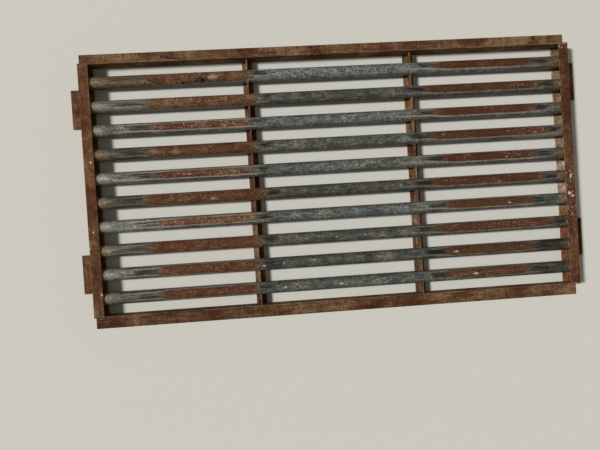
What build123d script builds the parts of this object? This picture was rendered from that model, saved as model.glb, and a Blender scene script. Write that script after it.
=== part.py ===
from build123d import *
import os

# Cattle grid, lying flat as over its pit, with the face that wheels run on up.
# X runs along the tubes, Y across them and Z up. The origin is at the middle of the underside.

# Tubes: galvanised pipes, the first at +Y
tube_count = 10
tube_diameter = 76.1
tube_wall = 3.6
tube_pitch = 146.5
edge_gap = 64.7

# Side channels across the tube ends, toes inward
grid_length = 3048.0
channel_flange_width = 60.0
channel_flange_thickness = 6.35
channel_web_thickness = 6.35
channel_root_radius = 6.0
channel_toe_radius = 3.0
tube_headroom = 0.2
tube_end_clearance = 2.0

# Edge angles along the tubes, one leg up and one leg out along the ground.
# Only the flat leg runs on past the side channels.
angle_height = 89.0
angle_flat_width = 89.0
angle_thickness = 8.0
angle_root_radius = 10.0
angle_toe_radius = 4.0
angle_overhang = 20.0

# Cross bearers: tees under the tubes, flange down, with the stem notched for each tube
bearer_spacing = 1024.0
tee_flange_width = 63.5
tee_height = 63.5
tee_thickness = 6.35
tee_root_radius = 8.0
tee_toe_radius = 3.0
notch_clearance = 1.0

# Bearing lugs: plates that stick out of the side channels at the bottom, each beside
# the last tube but one, and a little off its line
lug_length = 240.0
lug_projection = 80.0
lug_thickness = 10.0
lug_shifts = {
    "back_left": 0.0,
    "back_right": 28.0,
    "front_left": 5.0,
    "front_right": 40.0,
}

# Worked out from the above
tube_radius = tube_diameter / 2
tube_axis_z = channel_flange_thickness + tube_radius
channel_depth = 2 * channel_flange_thickness + tube_diameter + tube_headroom
inner_width = (tube_count - 1) * tube_pitch + tube_diameter + 2 * edge_gap
web_inner_x = grid_length / 2 - channel_web_thickness
tube_length = 2 * (web_inner_x - channel_root_radius - tube_end_clearance)
tube_stations = [((tube_count - 1) / 2 - place) * tube_pitch for place in range(tube_count)]


def outline(points, root_corners, root_radius, toe_corners, toe_radius):
    """Closed face through the points, with its root and toe corners rounded."""
    face = make_face(Polyline(*points, close=True))
    for corners, radius in ((root_corners, root_radius), (toe_corners, toe_radius)):
        at_corners = [
            vertex
            for vertex in face.vertices()
            if any((Vector(vertex) - Vector(*corner)).length < 1e-6 for corner in corners)
        ]
        if at_corners:
            face = fillet(at_corners, radius)
    return face


def tube(station):
    """One pipe, cut short of the channel webs so that it clears their root radius."""
    ring = Circle(tube_radius) - Circle(tube_radius - tube_wall)
    return extrude(Plane.YZ * Pos(station, tube_axis_z) * ring, tube_length / 2, both=True)


def side_channel():
    """The +X channel: web outside, flanges reaching in over and under the tube ends."""
    outside = grid_length / 2
    toe = outside - channel_flange_width
    low = channel_flange_thickness
    high = channel_depth - channel_flange_thickness
    points = [
        (outside, 0),
        (outside, channel_depth),
        (toe, channel_depth),
        (toe, high),
        (web_inner_x, high),
        (web_inner_x, low),
        (toe, low),
        (toe, 0),
    ]
    roots = [(web_inner_x, high), (web_inner_x, low)]
    toes = [(toe, high), (toe, low)]
    face = outline(points, roots, channel_root_radius, toes, channel_toe_radius)
    return extrude(Plane.XZ * face, inner_width / 2, both=True)


def edge_angle():
    """The +Y angle: its upright leg closes the channels and bearers, its flat leg points out."""
    heel = inner_width / 2
    tip = heel + angle_flat_width
    outer = heel + angle_thickness
    points = [
        (heel, 0),
        (tip, 0),
        (tip, angle_thickness),
        (outer, angle_thickness),
        (outer, angle_height),
        (heel, angle_height),
    ]
    roots = [(outer, angle_thickness)]
    toes = [(tip, angle_thickness), (outer, angle_height)]
    both_legs = outline(points, roots, angle_root_radius, toes, angle_toe_radius)

    flat_points = [(heel, 0), (tip, 0), (tip, angle_thickness), (heel, angle_thickness)]
    flat_leg = outline(flat_points, [], 0, [(tip, angle_thickness)], angle_toe_radius)

    angle = extrude(Plane.YZ * both_legs, grid_length / 2, both=True)
    angle += extrude(Plane.YZ * flat_leg, grid_length / 2 + angle_overhang, both=True)
    return angle


def cross_bearer():
    """A tee whose flange carries the tubes and whose stem stands up between them."""
    seat = tube_axis_z - tube_radius
    base = seat - tee_thickness
    half_flange = tee_flange_width / 2
    half_stem = tee_thickness / 2
    points = [
        (-half_flange, base),
        (half_flange, base),
        (half_flange, seat),
        (half_stem, seat),
        (half_stem, base + tee_height),
        (-half_stem, base + tee_height),
        (-half_stem, seat),
        (-half_flange, seat),
    ]
    roots = [(-half_stem, seat), (half_stem, seat)]
    toes = [(-half_flange, seat), (half_flange, seat)]
    face = outline(points, roots, tee_root_radius, toes, tee_toe_radius)
    tee = extrude(Plane.XZ * face, inner_width / 2, both=True)

    notch_radius = tube_radius + notch_clearance
    stem_and_roots = half_stem + tee_root_radius + notch_clearance
    upper_height = base + tee_height + notch_clearance - tube_axis_z
    open_top = Pos(0, upper_height / 2) * Rectangle(2 * notch_radius, upper_height)
    notch = Pos(0, tube_axis_z) * (Circle(notch_radius) + open_top)
    for station in tube_stations:
        tee -= extrude(Plane.YZ * Pos(station, 0) * notch, stem_and_roots, both=True)
    return tee


def bearing_lug(centre):
    """The +X lug centred at this Y, flat on the ground against the channel's web."""
    middle = grid_length / 2 + lug_projection / 2
    plate = Box(lug_projection, lug_length, lug_thickness)
    return Pos(middle, centre, lug_thickness / 2) * plate


pieces = {}
for number, station in enumerate(tube_stations, start=1):
    pieces[f"tube_{number:02d}"] = tube(station)

pieces["side_channel_right"] = side_channel()
pieces["side_channel_left"] = mirror(side_channel(), about=Plane.YZ)
pieces["edge_angle_back"] = edge_angle()
pieces["edge_angle_front"] = mirror(edge_angle(), about=Plane.XZ)
pieces["cross_bearer_right"] = Pos(bearer_spacing / 2, 0, 0) * cross_bearer()
pieces["cross_bearer_left"] = Pos(-bearer_spacing / 2, 0, 0) * cross_bearer()

for corner, shift in lug_shifts.items():
    beside = tube_stations[1] if corner.startswith("back") else tube_stations[-2]
    lug = bearing_lug(beside + shift)
    if corner.endswith("left"):
        lug = mirror(lug, about=Plane.YZ)
    pieces[f"bearing_lug_{corner}"] = lug

os.makedirs("parts", exist_ok=True)
for name, shape in pieces.items():
    export_step(shape, f"parts/{name}.step")
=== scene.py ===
"""Looks of the cattle grid: worn galvanised tubes in a rusted, welded frame."""

import math
import random
from collections import namedtuple

import bpy
from mathutils import Matrix, Vector, noise


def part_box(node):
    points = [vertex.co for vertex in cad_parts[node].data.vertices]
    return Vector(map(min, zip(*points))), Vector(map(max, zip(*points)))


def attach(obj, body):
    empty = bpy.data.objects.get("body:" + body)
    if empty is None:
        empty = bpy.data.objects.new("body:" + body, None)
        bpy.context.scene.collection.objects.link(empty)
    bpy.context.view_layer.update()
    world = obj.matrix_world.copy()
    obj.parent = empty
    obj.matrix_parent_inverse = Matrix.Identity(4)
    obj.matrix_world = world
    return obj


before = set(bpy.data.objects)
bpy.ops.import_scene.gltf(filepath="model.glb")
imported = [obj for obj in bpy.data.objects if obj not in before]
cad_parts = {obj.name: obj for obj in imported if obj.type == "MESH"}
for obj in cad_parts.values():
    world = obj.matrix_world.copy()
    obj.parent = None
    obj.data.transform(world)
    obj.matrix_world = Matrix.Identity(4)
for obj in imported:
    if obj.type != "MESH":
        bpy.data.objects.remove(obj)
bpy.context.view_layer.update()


def middle_y(name):
    """Y of the middle of a CAD node."""
    return sum(corner.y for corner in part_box(name)) / 2


# Places and sizes taken from the CAD frame, in metres
TUBE_AXES = [middle_y(f"tube_{number:02d}") for number in range(1, 11)]
TUBE_LOW, TUBE_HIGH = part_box("tube_01")
TUBE_RADIUS = (TUBE_HIGH.z - TUBE_LOW.z) / 2
TUBE_AXIS_Z = (TUBE_HIGH.z + TUBE_LOW.z) / 2
CHANNEL_LOW, CHANNEL_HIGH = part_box("side_channel_right")
TOE_X = CHANNEL_LOW.x
END_X = CHANNEL_HIGH.x
END_Y = CHANNEL_HIGH.y
TOP_Z = CHANNEL_HIGH.z
FLANGE = TUBE_LOW.z
BEARER_LOW, BEARER_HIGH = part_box("cross_bearer_right")
BEARER_X = (BEARER_LOW.x + BEARER_HIGH.x) / 2
BEARER_TOP = BEARER_HIGH.z
BEARER_HALF_WIDTH = (BEARER_HIGH.x - BEARER_LOW.x) / 2

# Sizes after part.py that no box in the frame tells: half the thickness of a bearer's stem, rounded, its root
# radius, and the thickness of an angle's legs
STEM_HALF = 0.0032
STEM_ROOT = 0.008
ANGLE_LEG = 0.008


def srgb(red, green, blue):
    """A colour written as it shows on screen, 0 to 255, in the linear form that shaders take."""
    shown = [level / 255 for level in (red, green, blue)]
    linear = [level / 12.92 if level <= 0.04045 else ((level + 0.055) / 1.055) ** 2.4 for level in shown]
    return linear + [1.0]


class Graph:
    """One material's nodes, with a short call for each kind of node that the looks need."""

    def __init__(self, name, seed):
        self.material = bpy.data.materials.new(name)
        self.material.use_nodes = True
        self.nodes = self.material.node_tree.nodes
        self.links = self.material.node_tree.links
        self.nodes.clear()
        self.seed = seed
        self.place = self.node("ShaderNodeTexCoord").outputs["Object"]
        self.x, self.y, self.z = self.node("ShaderNodeSeparateXYZ", {"Vector": self.place}).outputs

    def put(self, socket, value):
        """Links the socket to the one that is given as its value, or sets it to a plain value."""
        if isinstance(value, bpy.types.NodeSocket):
            self.links.new(value, socket)
        else:
            socket.default_value = value

    def node(self, kind, inputs=None, **settings):
        """A new node with its settings, and with its inputs linked or set."""
        made = self.nodes.new(kind)
        for key, value in settings.items():
            setattr(made, key, value)
        for key, value in (inputs or {}).items():
            self.put(made.inputs[key], value)
        return made

    def math(self, operation, first, second=0.0):
        return self.node("ShaderNodeMath", {0: first, 1: second}, operation=operation).outputs[0]

    def add(self, first, *others):
        for other in others:
            first = self.math("ADD", first, other)
        return first

    def less(self, first, second):
        return self.math("SUBTRACT", first, second)

    def times(self, first, *others):
        for other in others:
            first = self.math("MULTIPLY", first, other)
        return first

    def most(self, first, *others):
        for other in others:
            first = self.math("MAXIMUM", first, other)
        return first

    def size(self, value):
        return self.math("ABSOLUTE", value)

    def wobble(self, noise_value, amount):
        """How far a noise is from its middle value, times an amount."""
        return self.times(self.less(noise_value, 0.5), amount)

    def blend(self, *parts):
        """Sum of values, each given with its share."""
        return self.add(*(self.times(value, share) for value, share in parts))

    def step(self, value, low, high, to_low=0.0, to_high=1.0):
        """Smooth change as the value goes from low to high."""
        inputs = {"Value": value, "From Min": low, "From Max": high, "To Min": to_low, "To Max": to_high}
        return self.node("ShaderNodeMapRange", inputs, interpolation_type="SMOOTHSTEP").outputs[0]

    def near(self, value, middle, half, soft):
        """1 where the value is within half of the middle, fading out over soft."""
        return self.step(self.size(self.less(value, middle)), self.add(half, soft), self.less(half, soft))

    def within(self, value, first, last, soft):
        """1 where the value is between first and last, fading out over soft."""
        return self.near(value, (first + last) / 2, (last - first) / 2, soft)

    def noise(self, scale, detail=4.0, roughness=0.55, along=(1, 1, 1), shift=0.0, distortion=0.0):
        """Noise with features of about 1/scale metres, drawn out on the axis where along is small."""
        scaled = self.node("ShaderNodeVectorMath", {0: self.place, 1: along}, operation="MULTIPLY")
        move = self.seed + shift
        moved = {0: scaled.outputs[0], 1: (move, move * 1.7, move * 0.6)}
        vector = self.node("ShaderNodeVectorMath", moved, operation="ADD").outputs[0]
        inputs = {"Vector": vector, "Scale": scale, "Detail": detail, "Roughness": roughness,
                  "Distortion": distortion}
        return self.node("ShaderNodeTexNoise", inputs).outputs[0]

    def cells(self, scale, warp=0.0, warp_scale=30.0):
        """Cells about 1/scale metres wide: the distance from the middle of each, and a value of its own.
        Warp bends their edges."""
        vector = self.place
        if warp:
            bent = self.node("ShaderNodeTexNoise", {"Vector": vector, "Scale": warp_scale, "Detail": 3.0})
            offset = {0: bent.outputs["Color"], 1: (warp, warp, warp)}
            offset = self.node("ShaderNodeVectorMath", offset, operation="MULTIPLY").outputs[0]
            vector = self.node("ShaderNodeVectorMath", {0: vector, 1: offset}, operation="ADD").outputs[0]
        made = self.node("ShaderNodeTexVoronoi", {"Vector": vector, "Scale": scale})
        own = self.node("ShaderNodeSeparateXYZ", {"Vector": made.outputs["Color"]}).outputs[0]
        return made.outputs["Distance"], own

    def ramp(self, value, *stops):
        """Colours in order along a value, given as (place, colour)."""
        made = self.node("ShaderNodeValToRGB", {"Fac": value})
        bands = made.color_ramp.elements
        while len(bands) < len(stops):
            bands.new(1.0)
        for band, (place, colour) in zip(bands, stops):
            band.position = place
            band.color = colour
        return made.outputs[0]

    def mix(self, factor, first, second, blend="MIX"):
        """From the first colour to the second as the factor goes from 0 to 1."""
        inputs = {0: factor, 6: first, 7: second}
        return self.node("ShaderNodeMix", inputs, data_type="RGBA", blend_type=blend).outputs[2]

    def shade(self, colour, tone):
        """The colour made lighter or darker by a value about 1."""
        grey = self.node("ShaderNodeCombineColor", {0: tone, 1: tone, 2: tone}).outputs[0]
        return self.mix(1.0, colour, grey, "MULTIPLY")

    def surface(self, colour, roughness, metallic, height, relief, specular, edge_radius=0.0):
        """Ends the tree in one shader. Relief is the depth of the bumps, in metres."""
        bump = {"Height": height, "Strength": 1.0, "Distance": relief}
        if edge_radius:
            bump["Normal"] = self.node("ShaderNodeBevel", {"Radius": edge_radius}, samples=4).outputs[0]
        normal = self.node("ShaderNodeBump", bump).outputs[0]
        inputs = {"Base Color": colour, "Roughness": roughness, "Metallic": metallic, "Normal": normal,
                  "Specular IOR Level": specular}
        shader = self.node("ShaderNodeBsdfPrincipled", inputs)
        self.node("ShaderNodeOutputMaterial", {"Surface": shader.outputs[0]})
        return self.material


# Galvanised tubes

ZINC_DARK = srgb(44, 46, 43)
ZINC_MID = srgb(86, 88, 83)
ZINC_PALE = srgb(136, 140, 137)
ZINC_CHALK = srgb(192, 194, 188)
GRIME_OLIVE = srgb(72, 65, 44)
GRIME_TAN = srgb(116, 96, 66)
SCUFF = srgb(22, 21, 20)
TRACK_DARK = srgb(46, 27, 17)
TRACK_BROWN = srgb(92, 63, 39)
TRACK_RED = srgb(88, 50, 28)
TRACK_LIGHT = srgb(132, 98, 67)
TRACK_MAROON = srgb(73, 41, 22)
TRACK_ORANGE = srgb(158, 104, 58)
TRACK_CHIP = srgb(205, 186, 166)
WELD_BURN = srgb(120, 84, 42)
ZINC_BLUE = srgb(104, 122, 130)
END_CHALK = srgb(166, 164, 150)
END_TAN = srgb(130, 106, 80)
STAIN_BROWN = srgb(92, 74, 56)
STAIN_PALE = srgb(136, 124, 108)
RIM = srgb(166, 154, 138)
LIME = srgb(216, 202, 186)

# How each tube has worn. left and right are the tracks that wheels have worn to rust: start and end along X.
# tones are of the zinc at the left end, in the middle and at the right end: 0 is plain grey, more is paler.
# grime is how much there is towards the left and the right end, and end_tan says how tan the left end is.
# half, tone and red are half of the left track's width as an angle, its paleness and its redness. rims are
# how pale the edges of the left and the right track are, chips is how thickly pale chips lie on the left one,
# dusty is the dust on the right one, and cool is how blue the zinc is right of the middle. marks are pale
# marks: X, degrees from the crest, length and strength.
TubeLook = namedtuple(
    "TubeLook", "left right tones grime end_tan half tone red rims chips dusty cool marks",
    defaults=(0.0, 0.0, 0.0, ()))
TUBE_LOOKS = {
    "tube_01": TubeLook(
        left=(-1.11, -0.495), right=(0.67, 1.30), tones=(0.6, 0.95, 0.5), grime=(2.0, 0.9), end_tan=0.9,
        half=0.98, tone=-0.5, red=0.15, rims=(0.2, 0.8), chips=0.1,
        marks=[(-0.72, -4, 0.050, 0.35), (-0.74, -16, 0.030, 0.25)]),
    "tube_02": TubeLook(
        left=(-1.13, -0.465), right=(0.59, 1.33), tones=(1.6, -0.45, -0.9), grime=(0.8, 0.0), end_tan=0.6,
        half=1.10, tone=0.0, red=0.1, rims=(0.6, 0.3), chips=0.2),
    "tube_03": TubeLook(
        left=(-1.10, -0.520), right=(0.65, 1.29), tones=(0.2, 0.45, 0.3), grime=(0.2, 0.4), end_tan=0.1,
        half=0.54, tone=-0.45, red=0.7, rims=(1.2, 0.9), chips=0.8, dusty=0.05, cool=0.6,
        marks=[(0.07, 0, 0.012, 0.6)]),
    "tube_04": TubeLook(
        left=(-1.13, -0.485), right=(0.61, 1.37), tones=(-1.5, 0.15, 2.2), grime=(0.6, 0.4), end_tan=1.0,
        half=1.10, tone=-0.8, red=0.8, rims=(0.3, 0.5), chips=0.05,
        marks=[(-1.10, 0, 0.050, 0.17), (-0.97, -12, 0.060, 0.17)]),
    "tube_05": TubeLook(
        left=(-1.11, -0.520), right=(0.69, 1.28), tones=(0.8, 0.25, 0.0), grime=(0.05, 0.4), end_tan=0.0,
        half=0.56, tone=-0.60, red=0.8, rims=(1.2, 0.9), chips=0.8,
        marks=[(1.09, -8, 0.014, 0.7)]),
    "tube_06": TubeLook(
        left=(-1.16, -0.450), right=(0.61, 1.31), tones=(-2.7, -0.70, -0.3), grime=(0.6, 0.0), end_tan=0.7,
        half=1.10, tone=-0.5, red=1.0, rims=(0.4, 0.4), chips=0.2,
        marks=[(0.40, -3, 0.014, 0.7), (-0.77, -20, 0.026, 0.45)]),
    "tube_07": TubeLook(
        left=(-1.08, -0.520), right=(0.69, 1.25), tones=(1.5, 0.30, 0.2), grime=(0.05, 0.1), end_tan=0.3,
        half=0.54, tone=0.6, red=0.8, rims=(1.2, 0.8), chips=0.9, dusty=0.15, cool=0.3,
        marks=[(1.09, -6, 0.018, 0.8), (-0.08, -3, 0.012, 0.6), (-1.25, -12, 0.016, 0.8)]),
    "tube_08": TubeLook(
        left=(-1.16, -0.490), right=(0.61, 1.38), tones=(0.2, -0.40, -0.9), grime=(0.6, 0.0), end_tan=0.7,
        half=1.15, tone=0.35, red=0.9, rims=(0.5, 0.3), chips=0.0, dusty=0.1,
        marks=[(-0.21, -3, 0.012, 0.5), (-0.02, -3, 0.014, 0.6), (0.16, -2, 0.014, 0.5)]),
    "tube_09": TubeLook(
        left=(-1.12, -0.520), right=(0.65, 1.24), tones=(0.4, -0.50, -3.1), grime=(0.2, 0.0), end_tan=0.2,
        half=0.85, tone=0.15, red=1.0, rims=(0.7, 0.3), chips=0.0, dusty=0.1,
        marks=[(0.73, 2, 0.024, 0.7), (-0.17, 17, 0.016, 0.6), (-0.36, 8, 0.016, 0.6),
               (-0.48, -8, 0.020, 0.7)]),
    "tube_10": TubeLook(
        left=(-1.11, -0.530), right=(0.67, 1.20), tones=(-0.4, 0.10, -1.5), grime=(0.2, 0.0), end_tan=0.5,
        half=0.76, tone=-0.75, red=1.3, rims=(0.8, 0.3), chips=0.1, dusty=0.3,
        marks=[(0.85, 0, 0.028, 0.8), (-0.01, -5, 0.024, 0.7), (-0.36, -5, 0.022, 0.8)]),
}


def between(first, second, share):
    """A colour part of the way from the first to the second."""
    return [a + (b - a) * share for a, b in zip(first, second)]


def tube_material(name, look, seed):
    """Weathered zinc with a rusted wheel track on the crest of either half."""
    (left_start, left_end), (right_start, right_end) = look.left, look.right
    pale_left, pale, pale_right = look.tones
    grime_left, grime_right = look.grime
    g = Graph(f"galvanised_{name}", seed)
    angle = g.math("ARCTAN2", g.less(g.y, middle_y(name)), g.less(g.z, TUBE_AXIS_Z))
    from_middle = g.size(g.x)

    cloud = g.noise(9, 6, 0.62, distortion=0.3)
    streak = g.noise(58, 5, 0.66, along=(0.30, 1, 1), shift=3)
    speck = g.noise(88, 5, 0.70, along=(0.70, 1, 1), shift=5)
    grain = g.noise(420, 3, 0.7)
    drag = g.noise(170, 4, 0.6, along=(0.03, 1, 1), shift=9)
    wander = g.noise(20, 3, 0.6, along=(0.35, 1, 1), shift=7)
    ragged = g.noise(110, 4, 0.65, along=(0.07, 1, 1), shift=11)
    flecks = g.noise(92, 2, 0.55, along=(0.55, 1, 1), shift=13)
    crumbs = g.noise(210, 2, 0.55, along=(0.8, 1, 1), shift=19)
    hoops = g.noise(170, 3, 0.6, along=(1, 0.12, 0.12), shift=23)
    spots = g.noise(125, 2, 0.5, along=(0.8, 1, 1), shift=29)

    # Zinc: clouded, streaked along the tube and speckled, with chalky specks where it is pale
    place = g.add(g.x, g.wobble(wander, 0.5))
    shift = g.blend((g.step(place, -0.80, -1.30), pale_left), (g.step(place, 1.10, 1.34), pale_right),
                    (g.times(g.step(place, -1.05, -0.60), g.step(place, 1.30, 0.95)), pale))
    tone = g.blend((cloud, 0.24), (streak, 0.28), (speck, 0.36), (hoops, 0.12))
    zinc = g.ramp(g.add(tone, g.times(shift, 0.048)), (0.395, ZINC_DARK), (0.50, ZINC_MID), (0.60, ZINC_PALE))
    chalky = g.step(g.blend((cloud, 1.0), (shift, 0.11)), 0.49, 0.60)
    chalk = g.times(g.step(g.blend((flecks, 0.35), (speck, 0.35), (crumbs, 0.3)), 0.535, 0.575), chalky)
    zinc = g.mix(g.times(chalk, 0.48), zinc, ZINC_CHALK)
    blue = g.times(g.near(g.x, 0.30, 0.20, 0.14), g.step(g.blend((wander, 0.6), (speck, 0.4)), 0.47, 0.56))
    zinc = g.mix(g.times(blue, 0.75 * look.cool), zinc, ZINC_BLUE)
    zinc = g.mix(g.times(g.step(flecks, 0.37, 0.32), 0.6), zinc, ZINC_DARK)

    # Grime: olive at the ends, and a thin film in patches
    left_grime = g.times(g.step(g.add(g.x, g.times(wander, 0.4)), -0.72, -1.12), grime_left)
    right_grime = g.times(g.step(g.add(g.x, g.times(wander, 0.1)), 1.34, 1.41), grime_right)
    film = g.times(g.step(cloud, 0.46, 0.62), 0.42 - 0.12 * pale)
    grime = g.times(g.most(left_grime, right_grime, film), g.step(speck, 0.30, 0.60, 0.4, 1.0))
    tan = g.step(g.blend((speck, 0.5), (streak, 0.5)), 0.44, 0.60)
    zinc = g.mix(g.times(grime, 0.85), zinc, g.mix(tan, GRIME_OLIVE, GRIME_TAN))

    # The left end keeps dried mud in specks
    on_end = g.step(g.add(g.x, g.times(wander, 0.12)), -1.29, -1.38)
    mud = between(END_CHALK, END_TAN, look.end_tan)
    zinc = g.mix(g.times(on_end, g.step(speck, 0.40, 0.56, 0.25, 0.85)), zinc, mud)
    zinc = g.mix(g.times(on_end, g.step(crumbs, 0.45, 0.39), 0.75), zinc, ZINC_DARK)

    # Metal rubbed dark along the crest, outside the tracks
    crest = g.near(angle, 0.06, g.add(0.05, g.times(ragged, 0.5)), 0.08)
    outside = g.times(g.step(from_middle, 1.44, 1.32), g.step(from_middle, 0.70, 1.05))
    zinc = g.mix(g.times(crest, outside, g.step(drag, 0.46, 0.56), 0.85), zinc, SCUFF)

    # Flanks darker towards the underside: partly dirt, partly painted shade of the lower flanks. The
    # underside stays damp and rusts where the zinc is gone
    # Painted shade and dirt: both flanks fade to dark zinc away from the crest
    flank = g.step(g.add(g.size(g.add(angle, 0.1)), g.wobble(speck, 0.8)), 1.05, 1.6)
    zinc = g.mix(g.times(flank, 0.65), zinc, ZINC_DARK)
    under = g.step(g.size(angle), 1.7, 2.5)
    under_rust = g.mix(g.step(speck, 0.4, 0.6), TRACK_DARK, TRACK_BROWN)
    zinc = g.mix(g.times(under, g.step(tone, 0.46, 0.52), 0.85), zinc, under_rust)

    def track(start, end, end_fade, half, offset, pointed):
        """Masks of one wheel track, of the stain round it and of its pale rims."""
        moved = g.add(g.x, g.wobble(ragged, 0.22), g.wobble(speck, 0.10))
        inside = g.times(g.step(moved, start - 0.03, start + 0.03),
                         g.step(moved, end + end_fade, end - end_fade))
        taper = g.times(g.step(g.x, start - 0.05, start + 0.12, pointed, 1.0),
                        g.step(g.x, end + 0.04, end - 0.14, 0.75, 1.0))
        width = g.add(g.times(taper, half), g.wobble(wander, 0.25), g.wobble(ragged, 0.45),
                      g.wobble(speck, 0.45))
        core = g.times(inside, g.near(angle, offset, width, 0.05))
        wider = g.times(g.within(g.x, start - 0.02, end + 0.02, 0.05),
                        g.near(angle, offset, g.add(half, 0.32), 0.25))
        reach = g.step(g.x, start - 0.06, start + 0.08, 0.56, half + 0.13)
        beside = g.size(g.less(g.size(g.less(angle, offset)), reach))
        length = g.times(g.step(g.x, start - 0.28, start - 0.18), g.step(g.x, end + 0.10, end - 0.02))
        broken = g.step(g.blend((drag, 0.6), (speck, 0.4)), 0.42, 0.52, 0.2, 1.0)
        rims = g.times(g.step(beside, 0.18, 0.05), length, broken)
        return core, wider, rims

    def scuff(place, half_length, offset=0.14):
        """Dark rubbed metal beyond the end of a track."""
        along = g.near(g.add(g.x, g.wobble(ragged, 0.16)), place, half_length, 0.03)
        across = g.near(angle, offset, g.add(0.16, g.times(ragged, 0.5)), 0.14)
        return g.times(along, across, g.step(drag, 0.40, 0.52, 0.35, 0.97))

    left, left_stain, left_rims = track(left_start, left_end, 0.012, look.half, 0.05, 0.8)
    right, right_stain, right_rims = track(right_start, right_end, 0.035, 0.74, 0.22, 0.6)
    rubbed = g.times(g.most(left_stain, right_stain), g.step(streak, 0.36, 0.56, 0.2, 0.85))
    colour = g.mix(rubbed, zinc, g.mix(g.step(speck, 0.42, 0.60), STAIN_BROWN, STAIN_PALE))
    before = g.times(scuff(left_start - 0.07, 0.065, 0.0), max(0.1, 0.85 - 0.5 * grime_left))
    scuffs = g.most(before, scuff(left_end + 0.060, 0.045), scuff(right_start - 0.055, 0.06),
                    scuff(right_end + 0.045, 0.045))
    colour = g.mix(scuffs, colour, SCUFF)
    rims = g.add(g.times(left_rims, 0.8 * look.rims[0]), g.times(right_rims, 0.8 * look.rims[1]))
    colour = g.mix(rims, colour, RIM)

    # Rust of the tracks, streaked by tyres, with crisp flecks
    rust_tone = g.blend((streak, 0.32), (speck, 0.45), (cloud, 0.23))
    middle = between(TRACK_BROWN, TRACK_RED, look.red)
    left_tone = g.add(rust_tone, 0.03 * look.tone)
    spread = 0.03 * look.red
    left_rust = g.ramp(left_tone, (0.40 - spread, TRACK_DARK), (0.49, middle), (0.60 + spread, TRACK_LIGHT))
    right_rust = g.ramp(rust_tone, (0.40, TRACK_DARK), (0.49, TRACK_MAROON), (0.62, TRACK_RED))
    sparse = g.step(wander, 0.44, 0.56)
    orange = g.times(g.step(flecks, 0.57, 0.63), sparse, max(0.0, 0.65 - 0.5 * look.red))
    left_rust = g.mix(orange, left_rust, TRACK_ORANGE)
    right_rust = g.mix(g.times(g.step(flecks, 0.60, 0.66), 0.25), right_rust, TRACK_ORANGE)
    chips = g.times(g.step(crumbs, 0.62, 0.67), g.step(wander, 0.54, 0.60))
    left_rust = g.mix(g.times(chips, 0.6), left_rust, TRACK_CHIP)
    scattered = g.times(g.step(spots, 0.60, 0.65), g.step(cloud, 0.44, 0.54, 0.2, 0.85))
    left_rust = g.mix(g.times(scattered, look.chips), left_rust, TRACK_CHIP)
    right_rust = g.mix(g.times(chips, 0.8), right_rust, TRACK_CHIP)
    gouges = g.step(g.blend((flecks, 0.5), (drag, 0.5)), 0.41, 0.37)
    left_rust = g.mix(g.times(gouges, 0.75), left_rust, TRACK_DARK)
    right_rust = g.mix(g.times(gouges, 0.6), right_rust, TRACK_DARK)
    right_rust = g.mix(g.times(g.step(speck, 0.42, 0.56), look.dusty), right_rust, GRIME_TAN)
    colour = g.mix(left, colour, left_rust)
    colour = g.mix(right, colour, right_rust)

    # Zinc burnt off by the welds, on the flanks over the bearers and at the channels
    from_bearer = g.add(g.size(g.less(from_middle, BEARER_X)), g.wobble(speck, 0.05))
    burnt = g.times(g.step(from_bearer, 0.045, 0.018), g.step(g.size(angle), 0.9, 1.5, 0.0, 0.85))
    at_end = g.add(from_middle, g.wobble(speck, 0.14))
    burnt = g.most(burnt, g.step(at_end, TOE_X - 0.045, TOE_X, 0.0, 0.5))
    burnt = g.times(burnt, g.less(1.0, g.times(g.most(left, right), 0.7)))
    colour = g.mix(burnt, colour, g.ramp(speck, (0.40, GRIME_OLIVE), (0.50, WELD_BURN), (0.60, GRIME_TAN)))

    # Pale marks
    for place, degrees, length, strength in look.marks:
        along = g.size(g.times(g.less(g.x, place), 2 / length))
        across = g.size(g.times(g.less(angle, math.radians(degrees)), 4 * TUBE_RADIUS / length))
        broken = g.wobble(g.blend((speck, 0.5), (crumbs, 0.5)), 9.0)
        mark = g.step(g.add(along, across, broken), 1.4, 0.8, 0.0, strength)
        colour = g.mix(mark, colour, LIME)

    rusted = g.most(left, right, burnt)
    colour = g.shade(colour, g.step(g.blend((grain, 0.55), (crumbs, 0.45)), 0.34, 0.66, 0.66, 1.34))
    roughness = g.add(g.step(rusted, 0.0, 1.0, 0.50, 0.85), g.wobble(streak, 0.4))
    metallic = g.step(rusted, 0.0, 1.0, 0.40, 0.0)
    pits, _ = g.cells(210)
    height = g.blend((grain, 0.25), (speck, 0.9), (crumbs, 0.25), (drag, 0.25), (streak, 0.5))
    height = g.add(height, g.times(g.step(pits, 0.0, 0.45), g.add(0.12, g.times(rusted, 0.30))))
    return g.surface(colour, roughness, metallic, height, relief=0.0009, specular=0.25)


# Rusted frame

RUST_BLACK = srgb(28, 18, 12)
RUST_DEEP = srgb(58, 34, 21)
RUST_MAROON = srgb(78, 46, 30)
RUST_RED = srgb(96, 60, 39)
RUST_BROWN = srgb(100, 74, 49)
RUST_LIGHT = srgb(136, 106, 74)
RUST_ORANGE = srgb(146, 92, 50)
RUST_TAN = srgb(132, 102, 70)
DUST = srgb(152, 130, 102)
BARE_EDGE = srgb(164, 142, 118)
LIME_SPLASH = srgb(226, 202, 188)
SILT = srgb(184, 158, 130)
WELD_TONES = (RUST_DEEP, RUST_BROWN, DUST)
DIRT_TONES = (srgb(26, 19, 13), srgb(50, 38, 27), srgb(92, 76, 56))
SCALE_TONES = (srgb(24, 18, 15), srgb(44, 32, 26), srgb(96, 74, 62))

# How noise is stretched for mill marks along X and along Y
ALONG_X = (0.10, 1, 1)
ALONG_Y = (1, 0.10, 1)


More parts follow.
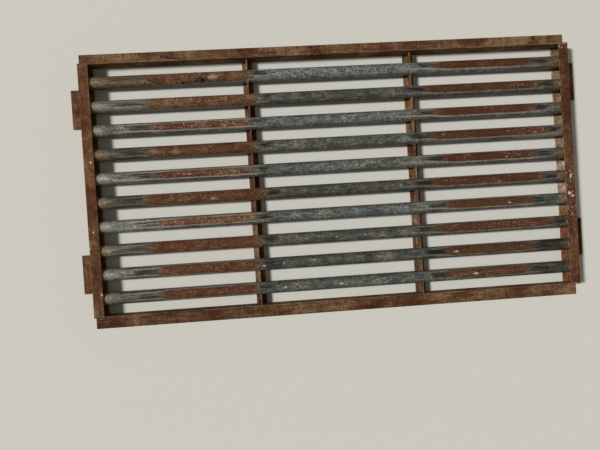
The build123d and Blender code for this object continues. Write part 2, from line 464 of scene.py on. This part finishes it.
def steel_material(name, seed, rolled, red, tone, orange, dust, streaks, slope=(0.0, 0.0), ledge=0.0,
                   splashes=(), silt=(), dabs=()):
    """Settled rust. Red, orange, dust, streaks and ledge are amounts from 0 to 1, and tone goes from about -1
    (dark) to 1 (pale), with its slope over X and Y. Splashes and silt are stretches of Y with pale splashes
    on top and with silt on the lower flange: first, last and cover. Dabs are single splashes: X, Y, Z, half
    of the size along X and along Y, and strength."""
    g = Graph(name, seed)
    cloud = g.noise(5, 6, 0.60, distortion=0.4)
    patch = g.noise(3.4, 4, 0.58, shift=12, distortion=0.5)
    roll = g.noise(52, 5, 0.66, along=rolled, shift=6)
    mottle = g.noise(30, 6, 0.66, shift=2, distortion=0.3)
    crust = g.noise(112, 5, 0.72, shift=4)
    grain = g.noise(460, 3, 0.7)
    drips = g.noise(84, 4, 0.6, along=(1, 0.09, 0.2), shift=16)
    crumbs = g.noise(165, 2, 0.55, shift=8)
    _, own = g.cells(34, warp=0.03)
    pits, _ = g.cells(120)

    value = g.blend((cloud, 0.26), (roll, 0.24), (mottle, 0.22), (crust, 0.28))
    value = g.add(value, g.blend((g.x, 0.05 * slope[0]), (g.y, 0.05 * slope[1])), 0.05 * tone)
    brown = g.ramp(value, (0.42, RUST_DEEP), (0.50, RUST_BROWN), (0.58, RUST_LIGHT))
    maroon = g.ramp(value, (0.42, RUST_DEEP), (0.50, RUST_MAROON), (0.58, RUST_RED))
    redness = g.step(g.add(patch, g.wobble(mottle, 0.6)), 0.60 - 0.2 * red, 0.52 - 0.2 * red)
    colour = g.mix(g.less(1.0, redness), brown, maroon)
    bloom = g.times(g.step(g.blend((mottle, 0.6), (crust, 0.4)), 0.52, 0.60), orange)
    colour = g.mix(bloom, colour, RUST_ORANGE)
    dusty = g.step(g.blend((cloud, 0.6), (roll, 0.4)), 0.48, 0.58)
    settled = g.times(dusty, g.step(crust, 0.42, 0.58, 0.4, 1.0), dust)
    colour = g.mix(settled, colour, DUST)
    outward = g.step(g.size(g.y), END_Y, END_Y + 0.08, 0.45, 1.0)
    run = g.times(g.step(drips, 0.52, 0.62), g.step(mottle, 0.38, 0.56), outward, streaks)
    colour = g.mix(run, colour, RUST_BLACK)

    # Plates of scale, some of them fallen off
    fallen = g.times(g.step(own, 0.70, 0.74), g.step(cloud, 0.50, 0.56))
    colour = g.mix(g.times(fallen, 0.4), colour, RUST_DEEP)

    # What has settled on the ledge of the lower flange, and dark spots
    on_ledge = g.step(g.z, 0.016, 0.009, 0.0, ledge)
    low = g.times(on_ledge, g.step(mottle, 0.38, 0.54, 0.2, 0.9))
    colour = g.mix(low, colour, g.mix(g.step(crust, 0.42, 0.56), RUST_TAN, RUST_ORANGE))
    for first, last, cover in silt:
        within = g.within(g.y, first, last, 0.06)
        speckled = g.step(g.blend((mottle, 0.4), (crust, 0.6)), 0.42, 0.57, 0.12, 1.0)
        colour = g.mix(g.times(within, g.step(g.z, 0.016, 0.009), speckled, cover), colour, SILT)
    dark_spots = g.times(g.step(pits, 0.26, 0.12), g.most(g.step(mottle, 0.42, 0.54), on_ledge))
    colour = g.mix(g.times(dark_spots, 0.7), colour, RUST_BLACK)

    # Pale flecks, splashes and dabs
    flecks = g.step(g.blend((crumbs, 0.75), (mottle, 0.25)), 0.605, 0.65)
    flecks = g.times(flecks, g.step(cloud, 0.42, 0.58, 0.2, 1.0))
    colour = g.mix(g.times(flecks, 0.5), colour, BARE_EDGE)
    for first, last, cover in splashes:
        within = g.within(g.y, first, last, 0.02)
        blots = g.step(g.noise(78, 3, 0.6, shift=17), 0.60 - 0.1 * cover, 0.63 - 0.1 * cover)
        colour = g.mix(g.times(within, blots, g.step(g.z, 0.080, 0.086), 0.8), colour, LIME_SPLASH)
    for x, y, z, half_x, half_y, strength in dabs:
        across = g.times(g.less(g.x, x), 1 / half_x)
        along = g.times(g.less(g.y, y), 1 / half_y)
        ragged = g.wobble(g.blend((mottle, 0.3), (crust, 0.7)), 10.0)
        far = g.add(g.times(across, across), g.times(along, along), ragged)
        dab = g.times(g.step(far, 1.4, 0.7), g.near(g.z, z, 0.004, 0.003))
        colour = g.mix(g.times(dab, strength), colour, LIME_SPLASH)

    # Edges rubbed pale
    rounded = g.node("ShaderNodeBevel", {"Radius": 0.0026}, samples=6).outputs[0]
    flat = g.node("ShaderNodeNewGeometry").outputs["Normal"]
    facing = g.node("ShaderNodeVectorMath", {0: rounded, 1: flat}, operation="DOT_PRODUCT").outputs["Value"]
    rubbed = g.step(g.blend((mottle, 0.5), (crust, 0.5)), 0.42, 0.56, 0.15, 0.95)
    colour = g.mix(g.times(g.step(facing, 0.995, 0.90), rubbed), colour, BARE_EDGE)

    colour = g.shade(colour, g.step(g.blend((grain, 0.6), (crust, 0.4)), 0.32, 0.68, 0.72, 1.28))
    pitted = g.step(pits, 0.0, 0.3)
    height = g.blend((crust, 1.0), (grain, 0.30), (mottle, 0.8), (pitted, 0.3), (fallen, -0.25))
    height = g.add(height, g.times(own, g.step(cloud, 0.46, 0.54), 0.18), g.times(roll, 0.5))
    roughness = g.step(grain, 0.3, 0.7, 0.78, 0.96)
    return g.surface(colour, roughness, 0.0, height, relief=0.0018, specular=0.12, edge_radius=0.0012)


def plain_material(name, seed, tones, roughness, relief):
    """One crumbly or rippled stuff in a dark, a middle and a light tone."""
    dark, middle, light = tones
    g = Graph(name, seed)
    crust = g.noise(260, 4, 0.7)
    cloud = g.noise(34, 4, 0.6, shift=8)
    colour = g.ramp(g.blend((cloud, 0.6), (crust, 0.4)), (0.40, dark), (0.51, middle), (0.62, light))
    height = g.blend((crust, 1.0), (cloud, 0.5))
    return g.surface(colour, roughness, 0.0, height, relief, specular=0.2)


def finish_node(name, material):
    """Gives a CAD node its material and leaves its mesh alone."""
    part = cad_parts[name]
    for place in part.material_slots:
        place.material = material


def finish_frame():
    """Gives every CAD node its look."""
    for order, (name, look) in enumerate(TUBE_LOOKS.items()):
        finish_node(name, tube_material(name, look, 10.0 + 4.3 * order))

    # Splashes, silt and dabs are at the places where the photograph shows them
    finish_node("edge_angle_back", steel_material(
        "rust_edge_angle_back", 2.0, ALONG_X, red=0.15, tone=0.75, orange=0.35, dust=0.40, streaks=0.60,
        slope=(0.15, 0.0)))
    finish_node("edge_angle_front", steel_material(
        "rust_edge_angle_front", 6.0, ALONG_X, red=0.30, tone=0.15, orange=0.30, dust=0.25, streaks=0.50,
        slope=(0.25, 0.0)))
    finish_node("side_channel_left", steel_material(
        "rust_side_channel_left", 9.0, ALONG_Y, red=0.80, tone=1.05, orange=0.35, dust=0.15, streaks=0.10,
        ledge=0.8,
        dabs=[(-1.482, 0.173, TOP_Z, 0.006, 0.007, 0.8), (-1.495, -0.248, TOP_Z, 0.006, 0.006, 0.6),
              (-1.470, -0.628, TOP_Z, 0.006, 0.009, 0.7), (-1.520, -0.346, TOP_Z, 0.004, 0.007, 0.6)]))
    finish_node("side_channel_right", steel_material(
        "rust_side_channel_right", 13.0, ALONG_Y, red=0.95, tone=-0.05, orange=0.22, dust=0.10, streaks=0.10,
        slope=(0.0, -0.30), ledge=0.6,
        splashes=[(-0.34, -0.04, -0.15), (-0.66, 0.10, -0.65), (0.73, 0.77, 0.2)],
        silt=[(-0.22, 0.762, 0.60), (-0.40, -0.20, 0.30), (-0.20, 0.06, 0.30)],
        dabs=[(1.497, -0.077, TOP_Z, 0.006, 0.013, 0.85), (1.484, -0.188, TOP_Z, 0.011, 0.010, 0.85),
              (1.503, -0.206, TOP_Z, 0.011, 0.007, 0.90), (1.506, 0.008, FLANGE, 0.010, 0.012, 0.65),
              (1.484, 0.000, FLANGE, 0.009, 0.010, 0.35), (1.502, -0.150, FLANGE, 0.012, 0.014, 0.50),
              (1.482, -0.125, FLANGE, 0.010, 0.009, 0.40)]))
    bearer = steel_material(
        "rust_cross_bearers", 17.0, ALONG_Y, red=0.30, tone=0.2, orange=0.35, dust=0.45, streaks=0.10,
        slope=(-0.40, 0.43))
    lug = steel_material(
        "rust_bearing_lugs", 21.0, ALONG_Y, red=0.25, tone=0.40, orange=0.40, dust=0.15, streaks=0.10)
    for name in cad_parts:
        if name.startswith("cross_bearer"):
            finish_node(name, bearer)
        elif name.startswith("bearing_lug"):
            finish_node(name, lug)


def make_piece(name, points, faces, material):
    """A mesh piece of the grid that rides on its one body."""
    mesh = bpy.data.meshes.new(name)
    mesh.from_pydata(points, [], faces)
    mesh.polygons.foreach_set("use_smooth", [True] * len(mesh.polygons))
    mesh.materials.append(material)
    mesh.update()
    piece = bpy.data.objects.new(name, mesh)
    bpy.context.scene.collection.objects.link(piece)
    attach(piece, "root")
    return piece


def ring_face(first, sides):
    """The face over a ring of points, given by the number of its first point."""
    return tuple(range(first, first + sides))


def ring_faces(low, high, sides):
    """The faces between two rings of points, each given by the number of its first point."""
    turns = [(side, (side + 1) % sides) for side in range(sides)]
    return [(low + side, low + after, high + after, high + side) for side, after in turns]


# Welds

RIPPLE = 0.0032
RINGS_A_RIPPLE = 4
BEAD_SIDES = 8

# Radii of the beads at the channels' toes, on the bearers' stems and the flanges, in the wedges under the
# tubes, at the frame's seams, along its top and on the lugs
TOE_BEAD = 0.0042
STEM_BEAD = 0.0034
WEDGE_BEAD = 0.0028
SEAM_BEAD = 0.0036
TOP_BEAD = 0.0038
LUG_BEAD = 0.0044

# How far the middle of a bead lies from the face of its steel, how far a bead stops short of an edge, and how
# far from the outside of a web, or from the middle of a stem, the root radius has ended
OFF_FACE = 0.0012
SHORT = 0.004
PAST_ROOT = 0.012


class Beads:
    """Collects weld beads and makes one mesh of them."""

    def __init__(self, seed):
        self.points = []
        self.faces = []
        self.random = random.Random(seed)

    def bead(self, path, outward, radius):
        """A rippled bead along a path, bulging outward from its joint, with rounded ends."""
        path = [Vector(point) for point in path]
        lengths = [0.0]
        for first, second in zip(path, path[1:]):
            lengths.append(lengths[-1] + (second - first).length)
        total = lengths[-1]
        rings = max(8, round(total / RIPPLE * RINGS_A_RIPPLE))
        start = len(self.points)
        lag = self.random.uniform(0.25, 0.4) * RIPPLE
        drift = self.random.uniform(0, math.tau)
        for ring in range(rings + 1):
            along = total * ring / rings
            span = next(leg for leg in range(len(path) - 1) if along <= lengths[leg + 1] + 1e-9)
            share = (along - lengths[span]) / (lengths[span + 1] - lengths[span])
            centre = path[span].lerp(path[span + 1], share)
            forward = (path[span + 1] - path[span]).normalized()
            out = Vector(outward)
            out = (out - forward * out.dot(forward)).normalized()
            side = forward.cross(out)
            # The ends are blunt, and between them the bead swells slowly and steps at each ripple
            from_end = min(along, total - along) / (1.4 * radius)
            blunt = math.sqrt(max(0.0, 1 - (1 - min(from_end, 1.0)) ** 2))
            ripple = (along / RIPPLE) % 1.0
            swell = 0.90 + 0.12 * math.sin(along * 90 + drift) + 0.16 * (ripple - 0.5)
            size = radius * max(0.05, blunt) * (swell + self.random.uniform(-0.04, 0.04))
            for step in range(BEAD_SIDES):
                turn = math.tau * step / BEAD_SIDES
                bow = forward * (lag * math.cos(turn) * blunt)
                self.points.append(centre + bow + (out * math.cos(turn) + side * math.sin(turn)) * size)
        end = start + rings * BEAD_SIDES
        for here in range(start, end, BEAD_SIDES):
            self.faces += ring_faces(here, here + BEAD_SIDES, BEAD_SIDES)
        self.faces.append(ring_face(start, BEAD_SIDES)[::-1])
        self.faces.append(ring_face(end, BEAD_SIDES))

    def make(self, name, material):
        """The piece that all the beads so far make."""
        return make_piece(name, self.points, self.faces, material)


def hand_name(side):
    """The name of the half with X above 0 (side 1) or below 0 (side -1)."""
    return "right" if side > 0 else "left"


def weld_tubes_to_channel(side, material):
    """Beads over and under each tube along the toes of the channel's flanges."""
    beads = Beads(31 if side > 0 else 37)
    x = side * (TOE_X - 0.0015)
    ring = TUBE_RADIUS + OFF_FACE
    for axis in TUBE_AXES:
        for upper in (1, -1):
            reach = beads.random.uniform(0.40, 0.52)
            angles = [reach * (step / 4 - 1) for step in range(9)]
            path = [(x, axis + ring * math.sin(angle), TUBE_AXIS_Z + upper * ring * math.cos(angle))
                    for angle in angles]
            beads.bead(path, (-side, 0, upper * 0.8), TOE_BEAD)
    return beads.make(f"welds_tubes_channel_{hand_name(side)}", material)


def weld_tubes_to_bearer(side, material):
    """Beads up both faces of the stem beside each tube, and in the wedge over the flange."""
    beads = Beads(41 if side > 0 else 43)
    middle = side * BEARER_X
    top = math.asin((BEARER_TOP - TUBE_AXIS_Z) / TUBE_RADIUS) - 0.04
    ring = TUBE_RADIUS * 1.02
    half_wedge = BEARER_HALF_WIDTH - 0.006
    wedge_from_axis = 0.0125
    for axis in TUBE_AXES:
        for flank in (1, -1):
            for face in (1, -1):
                x = middle + face * (STEM_HALF + 0.0008)
                low = -beads.random.uniform(0.25, 0.6)
                angles = [low + (top - low) * step / 6 for step in range(7)]
                path = [(x, axis + flank * ring * math.cos(angle), TUBE_AXIS_Z + ring * math.sin(angle))
                        for angle in angles]
                beads.bead(path, (face, flank * 0.7, 0), STEM_BEAD)
            y = axis + flank * wedge_from_axis
            wedge = [(middle + along, y, FLANGE + OFF_FACE) for along in (-half_wedge, 0.0, half_wedge)]
            beads.bead(wedge, (0, flank, 0.3), WEDGE_BEAD)
    return beads.make(f"welds_tubes_bearer_{hand_name(side)}", material)


def weld_corners(side, material):
    """Seams where the channels and the edge angles meet."""
    beads = Beads(47 if side > 0 else 53)
    web = side * (END_X - OFF_FACE)
    root = side * (END_X - PAST_ROOT)
    toe = side * (TOE_X - 0.0006)
    top = TOP_Z - 0.0026
    top_ends = (side * (TOE_X + 0.003), side * (END_X - 0.003))
    over_flat_leg = 0.010
    for end in (1, -1):
        y = end * END_Y
        beads.bead([(web, y, over_flat_leg), (web, y, TOP_Z - SHORT)], (side, 0, 0), SEAM_BEAD)
        beads.bead([(x, y, top) for x in top_ends], (0, 0, 1), TOP_BEAD)
        y = end * (END_Y - 0.0014)
        beads.bead([(toe, y, TOP_Z - FLANGE), (toe, y, TOP_Z - 0.0015)], (-side, -end, 0), TOE_BEAD)
        beads.bead([(toe, y, OFF_FACE), (toe, y, FLANGE)], (-side, -end, 0), TOE_BEAD)
        for z, face in ((FLANGE + OFF_FACE, 1), (TOP_Z - FLANGE - OFF_FACE, -1)):
            beads.bead([(side * (TOE_X + SHORT), y, z), (root, y, z)], (0, -end, face), STEM_BEAD)
    return beads.make(f"welds_corners_{hand_name(side)}", material)


def weld_bearer_ends(side, material):
    """Beads that hold the bearer's flange and stem to the edge angles."""
    beads = Beads(59 if side > 0 else 61)
    middle = side * BEARER_X
    on_flange = FLANGE + 0.0010
    for end in (1, -1):
        y = end * (END_Y - OFF_FACE)
        for face in (1, -1):
            x = middle + face * (STEM_HALF + OFF_FACE)
            beads.bead([(x, y, FLANGE + STEM_ROOT), (x, y, BEARER_TOP - SHORT)], (face, -end, 0), SEAM_BEAD)
            inner = middle + face * PAST_ROOT
            outer = middle + face * (BEARER_HALF_WIDTH - SHORT)
            beads.bead([(inner, y, on_flange), (outer, y, on_flange)], (0, -end, 1), SEAM_BEAD)
    return beads.make(f"welds_bearer_ends_{hand_name(side)}", material)


def weld_lugs(side, material):
    """A long bead along the top of each lug, where it meets the channel."""
    beads = Beads(67 if side > 0 else 71)
    x = side * (END_X + 0.0014)
    for corner in ("back", "front"):
        low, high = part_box(f"bearing_lug_{corner}_{hand_name(side)}")
        z = high.z + OFF_FACE
        beads.bead([(x, low.y + SHORT, z), (x, high.y - SHORT, z)], (side, 0, 1), LUG_BEAD)
    return beads.make(f"welds_lugs_{hand_name(side)}", material)


# Dirt and loose scale, at the places where the photograph shows them

# Clots on the first tube: X, angle from the crest in degrees, length along X, width and height
CLOTS_ON_TUBE = [
    (-0.800, -24, 0.038, 0.026, 0.0080),
    (-0.822, -31, 0.018, 0.016, 0.0060),
    (-0.781, -33, 0.016, 0.018, 0.0060),
    (-0.806, -10, 0.013, 0.011, 0.0040),
    (-0.908, -46, 0.014, 0.013, 0.0060),
    (-0.881, -49, 0.010, 0.019, 0.0022),
    (-0.866, -52, 0.009, 0.016, 0.0020),
    (-0.855, -47, 0.009, 0.012, 0.0020),
    (-1.137, -40, 0.012, 0.011, 0.0050),
    (-1.108, -10, 0.011, 0.008, 0.0040),
    (-1.091, 24, 0.006, 0.005, 0.0030),
    (-0.825, 50, 0.013, 0.010, 0.0050),
    (-0.760, -14, 0.008, 0.008, 0.0040),
]
CLOT_RINGS = 7
CLOT_SIDES = 18
CLOT_SUNK = 0.0006

# Flakes of scale lie in heaps along a slanting line: its lowest and highest X and Y, falling in Y as X grows,
# and the heaps' places as shares of it
SCALE_LINE = ((-1.045, 0.797), (-0.938, 0.824))
SCALE_HEAPS = (0.10, 0.34, 0.52, 0.60, 0.90)
SCALE_FLAKES = 52
FLAKE_SIDES = 9
FLAKE_RADII = (0.0028, 0.0088)
FLAKE_THICKNESS = 0.0011
FLAKE_SUNK = 0.0002


def lay_clots(material):
    """Clots of dried dirt stuck on the first tube."""
    axis = TUBE_AXES[0]
    points, faces = [], []
    for x, degrees, length, width, height in CLOTS_ON_TUBE:
        start = len(points)
        for ring in range(CLOT_RINGS + 1):
            rise = math.pi / 2 * ring / CLOT_RINGS
            for side in range(CLOT_SIDES if ring < CLOT_RINGS else 1):
                turn = math.tau * side / CLOT_SIDES
                level = math.cos(rise)
                out = Vector((math.cos(turn) * level, math.sin(turn) * level, math.sin(rise)))
                lumps = noise.noise(out * 1.9 + Vector((x * 400, 0, 0)))
                lumpy = 1 + 0.6 * lumps + 0.3 * noise.noise(out * 6)
                around = math.radians(degrees) + out.y * width / 2 * lumpy / TUBE_RADIUS
                reach = TUBE_RADIUS - CLOT_SUNK + out.z * height * lumpy
                points.append((x + out.x * length / 2 * lumpy, axis + reach * math.sin(around),
                               TUBE_AXIS_Z + reach * math.cos(around)))
        tip = len(points) - 1
        last_ring = tip - CLOT_SIDES
        for here in range(start, last_ring, CLOT_SIDES):
            faces += ring_faces(here, here + CLOT_SIDES, CLOT_SIDES)
        for side in range(CLOT_SIDES):
            faces.append((last_ring + side, last_ring + (side + 1) % CLOT_SIDES, tip))
        faces.append(ring_face(start, CLOT_SIDES)[::-1])
    return make_piece("dirt_clots", points, faces, material)


def lay_loose_scale(material):
    """Flakes of scale that have lifted off the flat leg of the back angle."""
    dice = random.Random(83)
    (x_low, y_low), (x_high, y_high) = SCALE_LINE
    points, faces = [], []
    for flake in range(SCALE_FLAKES):
        share = dice.choice(SCALE_HEAPS) + dice.gauss(0, 0.07)
        x = x_low + (x_high - x_low) * share
        y = y_high - (y_high - y_low) * share + dice.gauss(0, 0.0045)
        radius = dice.uniform(*FLAKE_RADII)
        lift = dice.uniform(0.05, 0.30)
        lean = dice.uniform(0, math.tau)
        start = len(points)
        for top in (0, 1):
            for side in range(FLAKE_SIDES):
                turn = math.tau * side / FLAKE_SIDES
                reach = radius * (1 + 0.55 * noise.noise(Vector((turn * 1.3, flake * 3.1, 0.0))))
                tilt = reach * (1 + math.cos(turn - lean)) * lift * 0.6
                place = (x + reach * math.cos(turn), y + 0.7 * reach * math.sin(turn))
                points.append((*place, ANGLE_LEG - FLAKE_SUNK + tilt + FLAKE_THICKNESS * top))
        faces.append(ring_face(start + FLAKE_SIDES, FLAKE_SIDES))
        faces.append(ring_face(start, FLAKE_SIDES)[::-1])
        faces += ring_faces(start, start + FLAKE_SIDES, FLAKE_SIDES)
    piece = make_piece("loose_scale", points, faces, material)
    piece.data.polygons.foreach_set("use_smooth", [False] * len(piece.data.polygons))
    return piece


# Stage

CAMERA_PLACE = (-0.390, -0.247, 2.8645)
CAMERA_TURN_DEGREES = (-0.726, -2.974, -3.639)
CAMERA_LENS_MM = 27.0
KEY_FROM = (-0.72, 0.10, 0.70)
KEY_STRENGTH = 3.2
KEY_SPREAD_DEGREES = 9.0
SKY_STRENGTH = 0.30
FLOOR_COLOUR = srgb(214, 211, 202)
BACKDROP_COLOUR = srgb(205, 202, 191)
FLOOR_RADIUS = 120.0


def add_camera():
    """The photograph's view of the grid."""
    camera = bpy.data.cameras.new("camera")
    camera.sensor_width = 36.0
    camera.lens = CAMERA_LENS_MM
    holder = bpy.data.objects.new("camera", camera)
    turn = Matrix.Identity(4)
    for axis, degrees in zip("XYZ", CAMERA_TURN_DEGREES):
        turn = turn @ Matrix.Rotation(math.radians(degrees), 4, axis)
    holder.matrix_world = Matrix.Translation(CAMERA_PLACE) @ turn
    bpy.context.scene.collection.objects.link(holder)
    bpy.context.scene.camera = holder


def add_light():
    """A broad soft key from the photograph's side, and an even pale surround."""
    key = bpy.data.lights.new("key", "SUN")
    key.energy = KEY_STRENGTH
    key.angle = math.radians(KEY_SPREAD_DEGREES)
    holder = bpy.data.objects.new("key", key)
    holder.rotation_euler = Vector(KEY_FROM).to_track_quat("Z", "Y").to_euler()
    bpy.context.scene.collection.objects.link(holder)

    world = bpy.data.worlds.new("surround")
    bpy.context.scene.world = world
    world.use_nodes = True
    nodes, links = world.node_tree.nodes, world.node_tree.links
    nodes.clear()
    path = nodes.new("ShaderNodeLightPath")
    seen = nodes.new("ShaderNodeMath")
    seen.operation = "MAXIMUM"
    links.new(path.outputs["Is Camera Ray"], seen.inputs[0])
    links.new(path.outputs["Is Glossy Ray"], seen.inputs[1])
    strength = nodes.new("ShaderNodeMapRange")
    links.new(seen.outputs[0], strength.inputs["Value"])
    strength.inputs["To Min"].default_value = SKY_STRENGTH
    strength.inputs["To Max"].default_value = 1.0
    background = nodes.new("ShaderNodeBackground")
    background.inputs["Color"].default_value = BACKDROP_COLOUR
    links.new(strength.outputs[0], background.inputs["Strength"])
    output = nodes.new("ShaderNodeOutputWorld")
    links.new(background.outputs[0], output.inputs["Surface"])


def add_floor():
    """A plain pale floor, so wide that its rim is lost in the backdrop."""
    below = -0.0005
    corners = 48
    turns = [math.tau * corner / corners for corner in range(corners)]
    mesh = bpy.data.meshes.new("floor")
    rim = [(FLOOR_RADIUS * math.cos(turn), FLOOR_RADIUS * math.sin(turn), below) for turn in turns]
    mesh.from_pydata(rim, [], [tuple(range(corners))])
    floor = bpy.data.objects.new("floor", mesh)
    bpy.context.scene.collection.objects.link(floor)
    paint = bpy.data.materials.new("floor")
    paint.use_nodes = True
    shader = paint.node_tree.nodes["Principled BSDF"]
    shader.inputs["Base Color"].default_value = FLOOR_COLOUR
    shader.inputs["Roughness"].default_value = 0.9
    shader.inputs["Specular IOR Level"].default_value = 0.2
    mesh.materials.append(paint)


bpy.context.scene.view_settings.view_transform = "Standard"
add_camera()
add_light()
add_floor()
finish_frame()
weld_metal = plain_material("weld_metal", 3, WELD_TONES, roughness=0.75, relief=0.0006)
dried_dirt = plain_material("dried_dirt", 5, DIRT_TONES, roughness=0.95, relief=0.0015)
scale = plain_material("scale", 7, SCALE_TONES, roughness=0.8, relief=0.0008)
for hand in (1, -1):
    for weld in (weld_tubes_to_channel, weld_tubes_to_bearer, weld_corners, weld_bearer_ends, weld_lugs):
        weld(hand, weld_metal)
lay_clots(dried_dirt)
lay_loose_scale(scale)
